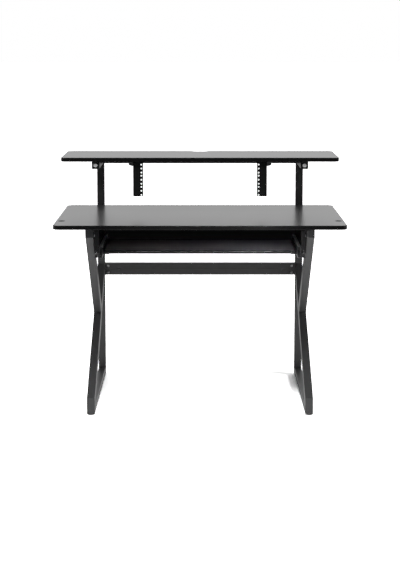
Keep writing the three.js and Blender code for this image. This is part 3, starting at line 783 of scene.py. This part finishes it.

# Rack rails and their hangers. Folded sheet: a fine, deep black coat on the rails, and a paler
# one on the hangers that carry them under the shelf, whose paleness is painted light for the
# light that falls on their faces.
rack_black = grained(
    "rack_black",
    color=(0.006, 0.006, 0.0063),
    roughness=0.5,
    grain_size=0.0012,
    grain_depth=0.00003,
    drift=0.12,
    specular=0.25,
)
wear_in(rack_black, color=(0.05, 0.05, 0.052), roughness=0.36, amount=0.6)
# Paler than the frames' coat: painted light for the light on the hangers' faces.
hanger_coat_painted_light = grained(
    "hanger_coat_painted_light",
    color=(0.09, 0.09, 0.092),
    roughness=0.4,
    grain_size=0.0012,
    grain_depth=0.00003,
    drift=0.12,
)
wear_in(hanger_coat_painted_light, color=(0.12, 0.12, 0.122), roughness=0.36, amount=0.6)
for side in sides:
    dressed(f"{side}_rack_rail", "frame", rack_black, "powder_coat", bevel=sheet_bevel)
    dressed(f"{side}_rail_hanger", "frame", hanger_coat_painted_light, "powder_coat", bevel=sheet_bevel)

# Tray hangers and tray angles. Folded plate with a thin, smoother and darker black coat. The
# hangers are screwed under the desktop and carry the slides, and the angles hold the tray board.
bracket_black = grained(
    "bracket_black",
    color=(0.008, 0.008, 0.0085),
    roughness=0.36,
    grain_size=0.0012,
    grain_depth=0.00002,
    drift=0.12,
    specular=0.2,
)
wear_in(bracket_black, color=(0.06, 0.06, 0.062), roughness=0.3, amount=0.4)
for side in sides:
    dressed(f"{side}_tray_hanger", "frame", bracket_black, "powder_coat", bevel=sheet_bevel)
    dressed(f"{side}_tray_angle", "tray", bracket_black, "powder_coat", bevel=sheet_bevel)

# Caps and feet. Black plastic, moulded with a fine matt grain: the push-in ends of the tubes,
# the round feet, and the flush caps of the accessory holes, which have a dished face and a ring.
plastic = grained(
    "moulded_plastic",
    color=(0.011, 0.011, 0.012),
    roughness=0.6,
    grain_size=0.0006,
    grain_depth=0.00003,
    specular=0.35,
)
wear_in(plastic, color=(0.04, 0.04, 0.042), roughness=0.4, amount=0.5)
for side in sides:
    for node in ("top_tube_cap", "base_tube_cap", "front_glide", "rear_glide", "arm_cap"):
        dressed(f"{side}_{node}", "frame", plastic, "black_plastic")


def turned(name, profile, segments, x=0.0, y=0.0):
    """A closed round mesh from a profile of (radius, height), both ends on the axis."""
    made = bmesh.new()
    rings = []
    for radius, height in profile:
        if radius == 0:
            rings.append([made.verts.new((x, y, height))])
        else:
            ring = ring_outline(radius, segments, x, y)
            rings.append([made.verts.new((u, w, height)) for u, w in ring])
    for inner, outer in zip(rings, rings[1:]):
        for index in range(segments):
            after = (index + 1) % segments
            if len(inner) == 1:
                made.faces.new((inner[0], outer[index], outer[after]))
            elif len(outer) == 1:
                made.faces.new((inner[index], outer[0], inner[after]))
            else:
                made.faces.new((inner[index], outer[index], outer[after], inner[after]))
    bmesh.ops.recalc_face_normals(made, faces=made.faces)
    mesh = bpy.data.meshes.new(name)
    made.to_mesh(mesh)
    made.free()
    return mesh


matt_cap = grained(
    "matt_cap",
    color=(0.004, 0.004, 0.0043),
    roughness=0.9,
    grain_size=0.0006,
    grain_depth=0.00002,
    specular=0.0,
)
cap_top, cap_bottom, barrel_radius = cap_high.z, cap_low.z, 0.0098
# From the dished middle over the ring to the rim, down the barrel, and back up inside it.
cap_profile = [
    (0, cap_top - 0.0005),
    (0.0050, cap_top - 0.0004),
    (0.0078, cap_top - 0.0001),
    (0.0084, cap_top - 0.0001),
    (0.0086, cap_top - 0.0005),
    (0.0092, cap_top - 0.0005),
    (0.0094, cap_top - 0.0001),
    (cap_radius - 0.0006, cap_top),
    (cap_radius - 0.0001, cap_top - 0.0003),
    (cap_radius, cap_top - 0.0006),
    (cap_radius, cap_top - 0.0012),
    (barrel_radius - 0.0004, cap_top - 0.0012),
    (barrel_radius - 0.0004, cap_bottom + 0.0026),
    (barrel_radius, cap_bottom + 0.0020),
    (barrel_radius - 0.0006, cap_bottom),
    (barrel_radius - 0.0018, cap_bottom),
    (barrel_radius - 0.0018, cap_top - 0.0025),
    (0, cap_top - 0.0025),
]
for side, way in sides.items():
    mesh = turned(f"{side}_accessory_cap", cap_profile, segments=64, x=way * cap_x, y=cap_y)
    cap = new_piece(f"{side}_flush_cap", mesh, matt_cap)
    shade_by_angle(cap)
    finish_piece(cap, "frame", "black_plastic", f"{side}_accessory_cap")

# Bolts. Zinc-plated steel, a little clouded: a bright one in each shelf arm's front end, and a
# dull one from each tray hanger into the leg frame.
zinc = grained(
    "zinc_plate",
    color=(0.86, 0.86, 0.87),
    roughness=0.4,
    grain_size=0.0008,
    grain_depth=0.00001,
    metallic=0.2,
    gloss_drift=0.2,
)
dull_zinc = grained(
    "dull_zinc_plate",
    color=(0.22, 0.22, 0.23),
    roughness=0.35,
    grain_size=0.0008,
    grain_depth=0.00001,
    metallic=0.9,
    gloss_drift=0.2,
)
bolt_bevel = 0.0002
for side in sides:
    dressed(f"{side}_arm_bolt", "frame", zinc, "zinc", bevel=bolt_bevel)
    dressed(f"{side}_hanger_bolt", "frame", dull_zinc, "zinc", bevel=bolt_bevel)


# Screws. Black pan heads with a cross recess hold the boards from below. Button heads with a
# hexagon socket hold the crossbar, and a black one fills the hole in each tray hanger's front face.
# The crossbar's are zinc-grey, painted bright at its ends and grey further in: painted highlights.
def screw(name, profile, recess, depth, taper):
    """A screw along the axis, its head above zero, its shank below, and a recess in the head."""
    top, cutter_overrun = profile[0][1], 0.001
    piece = new_piece(name, turned(name, profile, segments=24))
    cut_out(piece, prism(recess, top - depth, top + cutter_overrun, taper))
    shade_by_angle(piece)
    return piece


cross_half, cross_reach = 0.0005, 0.0020
cross = []
for quarter in range(4):
    turn = Matrix.Rotation(math.radians(90 * quarter), 2)
    for corner in ((cross_reach, -cross_half), (cross_reach, cross_half), (cross_half, cross_half)):
        cross.append(tuple(turn @ Vector(corner)))
# A profile runs from the top of the domed head out to its edge, in under it, and down the shank.
pan_head = screw(
    "pan_head",
    [
        (0, 0.0024),
        (0.0016, 0.0023),
        (0.0028, 0.0019),
        (0.0036, 0.0011),
        (0.0038, 0.0003),
        (0.0038, 0),
        (0.0019, 0),
        (0.0019, -0.0018),
        (0, -0.0018),
    ],
    recess=cross,
    depth=0.0016,
    taper=0.5,
)
socket_radius = 0.0023
button_head = screw(
    "button_head",
    [
        (0, 0.0030),
        (0.0028, 0.0029),
        (0.0040, 0.0022),
        (0.0048, 0.0011),
        (0.0051, 0.0004),
        (0.0051, 0),
        (0.0030, 0),
        (0.0030, -0.0072),
        (0.0026, -0.0078),
        (0, -0.0078),
    ],
    recess=ring_outline(socket_radius, corners=6),
    depth=0.0018,
    taper=1.0,
)


def fastener_tree():
    """Sets a screw at every point, with its head along the point's facing and a chance turn."""
    sockets = (
        ("Places", "Geometry", None),
        ("Screw", "Object", None),
        ("Size", "Float", 1.0),
        ("Seed", "Int", 5),
        ("Finish", "Material", None),
    )
    group, entry, leave = group_tree(
        "fasteners", "GeometryNodeTree", sockets, (("Fasteners", "Geometry"),)
    )
    facing = group.nodes.new("GeometryNodeInputNamedAttribute")
    facing.data_type = "FLOAT_VECTOR"
    facing.inputs["Name"].default_value = "facing"
    aimed = group.nodes.new("FunctionNodeAlignRotationToVector")
    aimed.axis = "Z"
    group.links.new(facing.outputs["Attribute"], aimed.inputs["Vector"])
    chance = group.nodes.new("FunctionNodeRandomValue")
    chance.data_type = "FLOAT"
    least, most = [socket for socket in chance.inputs if socket.type == "VALUE"][:2]
    least.default_value, most.default_value = 0, 2 * math.pi
    group.links.new(entry.outputs["Seed"], chance.inputs["Seed"])
    angle = next(socket for socket in chance.outputs if socket.type == "VALUE")
    twist = group.nodes.new("FunctionNodeAxisAngleToRotation")
    group.links.new(angle, twist.inputs["Angle"])
    turned_in = group.nodes.new("FunctionNodeRotateRotation")
    turned_in.rotation_space = "LOCAL"
    group.links.new(aimed.outputs["Rotation"], turned_in.inputs["Rotation"])
    group.links.new(twist.outputs["Rotation"], turned_in.inputs["Rotate By"])
    shape = group.nodes.new("GeometryNodeObjectInfo")
    group.links.new(entry.outputs["Screw"], shape.inputs["Object"])
    placed = group.nodes.new("GeometryNodeInstanceOnPoints")
    group.links.new(entry.outputs["Places"], placed.inputs["Points"])
    group.links.new(shape.outputs["Geometry"], placed.inputs["Instance"])
    group.links.new(turned_in.outputs["Rotation"], placed.inputs["Rotation"])
    group.links.new(entry.outputs["Size"], placed.inputs["Scale"])
    whole = group.nodes.new("GeometryNodeRealizeInstances")
    group.links.new(placed.outputs["Instances"], whole.inputs["Geometry"])
    painted = group.nodes.new("GeometryNodeSetMaterial")
    group.links.new(whole.outputs["Geometry"], painted.inputs["Geometry"])
    group.links.new(entry.outputs["Finish"], painted.inputs["Material"])
    group.links.new(painted.outputs["Geometry"], leave.inputs["Fasteners"])
    return group


fasteners = fastener_tree()
down, forward, inward = (0, 0, -1), (0, -1, 0), (-1, 0, 0)


def middle(box):
    """The middle of a node's box."""
    return (box[0] + box[1]) / 2


def set_screws(name, shape, places, finish, slot, body="frame", seed=5):
    """One piece of screws on both sides. A place is (x, y, z, facing) on the right side."""
    points, aims = [], []
    for way in sides.values():
        for x, y, z, facing in places:
            points.append((way * x, y, z))
            aims += [way * facing[0], facing[1], facing[2]]
    mesh = bpy.data.meshes.new(name)
    mesh.from_pydata(points, [], [])
    mesh.attributes.new("facing", "FLOAT_VECTOR", "POINT").data.foreach_set("vector", aims)
    settings = {"Screw": shape, "Seed": seed, "Finish": finish}
    grown(name, mesh, fasteners, settings, body, slot)


screw_black = grained(
    "screw_black",
    color=(0.02, 0.02, 0.021),
    roughness=0.36,
    grain_size=0.0006,
    grain_depth=0.00001,
    metallic=0.6,
)
# Bright copy of the crossbar screws' finish: partly zinc, partly painted highlight.
screw_painted_highlight = grained(
    "screw_painted_highlight",
    color=(0.34, 0.34, 0.35),
    roughness=0.4,
    grain_size=0.0006,
    grain_depth=0.00001,
    metallic=0.5,
)
# Darker copy of the same finish, for the inner screw whose highlight is fainter: painted shade.
screw_painted_dim = grained(
    "screw_painted_dim",
    color=(0.07, 0.07, 0.072),
    roughness=0.4,
    grain_size=0.0006,
    grain_depth=0.00001,
    metallic=0.6,
)
sheet = 0.002
tube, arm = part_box("right_top_tube"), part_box("right_shelf_arm")
rail_hanger, tray_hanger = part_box("right_rail_hanger"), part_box("right_tray_hanger")
bracket, angle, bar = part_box("right_panel_bracket"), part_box("right_tray_angle"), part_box("crossbar")

# Through the top tubes into the desktop, and through the arms into the shelf
board_places = [(middle(tube).x, y, tube[0].z, down) for y in (-0.190, 0.010, 0.210)]
board_places += [(middle(arm).x, y, arm[0].z, down) for y in (0.075, 0.205)]

# Through the rail hangers into the shelf, and through the tray hangers into the desktop
hanger_x, hanger_length = middle(rail_hanger).x + sheet / 2, rail_hanger[1].y - rail_hanger[0].y
for share in (1 / 3, 5 / 6):
    y = rail_hanger[0].y + share * hanger_length
    board_places.append((hanger_x, y, rail_hanger[1].z - sheet, down))
flange_x = 0.3895
board_places += [(flange_x, y, tray_hanger[1].z - sheet, down) for y in (-0.215, -0.060)]

# Through the panel brackets into the panel and into the top tubes
bracket_x, bracket_y, bracket_z = middle(bracket)
board_places.append((bracket_x, bracket[1].y - sheet, bracket_z, forward))
board_places.append((bracket[1].x - sheet, bracket_y, bracket_z, inward))
set_screws("board_screws", pan_head, board_places, screw_black, "powder_coat")

# Through the tray angles into the tray
angle_x = middle(angle).x - sheet / 2
tray_places = [(angle_x, y, angle[0].z, down) for y in (-0.215, -0.120, -0.025)]
set_screws("tray_screws", pan_head, tray_places, screw_black, "powder_coat", body="tray", seed=8)

# Through the crossbar into its angles: two at each end, and one further in
end_inset, end_spacing, inner_inset = 0.014, 0.027, 0.058
end_x, bar_z = bar[1].x - end_inset, middle(bar).z
end_places = [(end_x, bar[0].y, bar_z + share * end_spacing, forward) for share in (0.5, -0.5)]
set_screws("crossbar_screws", button_head, end_places, screw_painted_highlight, "zinc", seed=11)
inner_places = [(bar[1].x - inner_inset, bar[0].y, bar_z, forward)]
set_screws(
    "crossbar_inner_screws", button_head, inner_places, screw_painted_dim, "powder_coat", seed=12
)

# In the holes of the tray hangers' front faces
face_inset, face_setback, face_lift = 0.009, 0.028, 0.0255
face_x, face_z = tray_hanger[0].x + face_inset, tray_hanger[0].z + face_lift
face_places = [(face_x, desk_low.y + face_setback, face_z, forward)]
set_screws("hanger_screws", button_head, face_places, screw_black, "powder_coat", seed=14)
for shape in (pan_head, button_head):
    bpy.data.objects.remove(shape)

# Telescopic slides. Three folded steel members, one inside the other: the outer one zinc-plated,
# with a black buffer pressed on its front end, and the other two blackened. Bright balls run
# between them, in strips of cage.
slide_black = grained(
    "slide_black",
    color=(0.05, 0.05, 0.053),
    roughness=0.32,
    grain_size=0.001,
    grain_depth=0.00001,
    metallic=0.7,
)
wear_in(slide_black, color=(0.4, 0.4, 0.41), roughness=0.25, amount=0.6)
slide_zinc = grained(
    "slide_zinc",
    color=(0.78, 0.79, 0.8),
    roughness=0.42,
    grain_size=0.001,
    grain_depth=0.00001,
    metallic=0.2,
    gloss_drift=0.15,
)
ball_bright = grained(
    "ball_steel",
    color=(0.6, 0.61, 0.62),
    roughness=0.22,
    grain_size=0.0008,
    grain_depth=0.000005,
    metallic=1.0,
)
buffer_length, buffer_play, slide_bevel = 0.0015, 0.0001, 0.0002
for side in sides:
    outer = dressed(f"{side}_slide_outer", "frame", slide_zinc, "slide_steel", bevel=slide_bevel)
    front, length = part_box(f"{side}_slide_outer")[0].y, outer.dimensions.y
    mesh = outer.data.copy()
    mesh.materials.clear()
    for vertex in mesh.vertices:
        vertex.co.y = front - buffer_play - (vertex.co.y - front) * buffer_length / length
    mesh.flip_normals()
    buffer = new_piece(f"{side}_slide_buffer", mesh, plastic)
    shade_by_angle(buffer)
    finish_piece(buffer, "frame", "black_plastic")
    middle_body = f"{side}_middle_member"
    dressed(f"{side}_slide_middle", middle_body, slide_black, "slide_steel", bevel=slide_bevel)
    dressed(f"{side}_slide_inner", "tray", slide_black, "slide_steel", bevel=slide_bevel)
    dressed(f"{side}_outer_ball_cage", f"{side}_outer_cage", ball_bright, "ball_steel", bevel=0)
    dressed(f"{side}_inner_ball_cage", f"{side}_inner_cage", ball_bright, "ball_steel", bevel=0)

# Keyboard tray. A board of 12 mm with its edges well rounded over, whose top is painted a paler
# grey than the desktop's black melamine, as painted light for the light that falls on it. It
# rides on the slides' inner members.
tray_low, tray_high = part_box("keyboard_tray")
tray_corner, tray_edge = 0.006, 0.0045
# Paler than the desktop's laminate: painted light on the tray's top.
tray_laminate_painted_light = grained(
    "tray_laminate_painted_light",
    color=(0.15, 0.15, 0.152),
    roughness=0.3,
    grain_size=0.0009,
    grain_depth=0.000002,
    drift=0.06,
    gloss_drift=0.015,
)
tray_band = grained(
    "tray_band",
    color=(0.009, 0.009, 0.0093),
    roughness=0.3,
    grain_size=0.0007,
    grain_depth=0.00001,
    specular=0.2,
    stretch=(0.2, 0.2, 1),
)
tray = board(
    "tray_board",
    corner_arcs(tray_low, tray_high, tray_corner),
    tray_low.z,
    tray_high.z,
    tray_edge,
    (tray_laminate_painted_light, tray_band, underside),
    edge_steps=6,
)
shade_by_angle(tray)
finish_piece(tray, "tray", "laminate", "keyboard_tray")
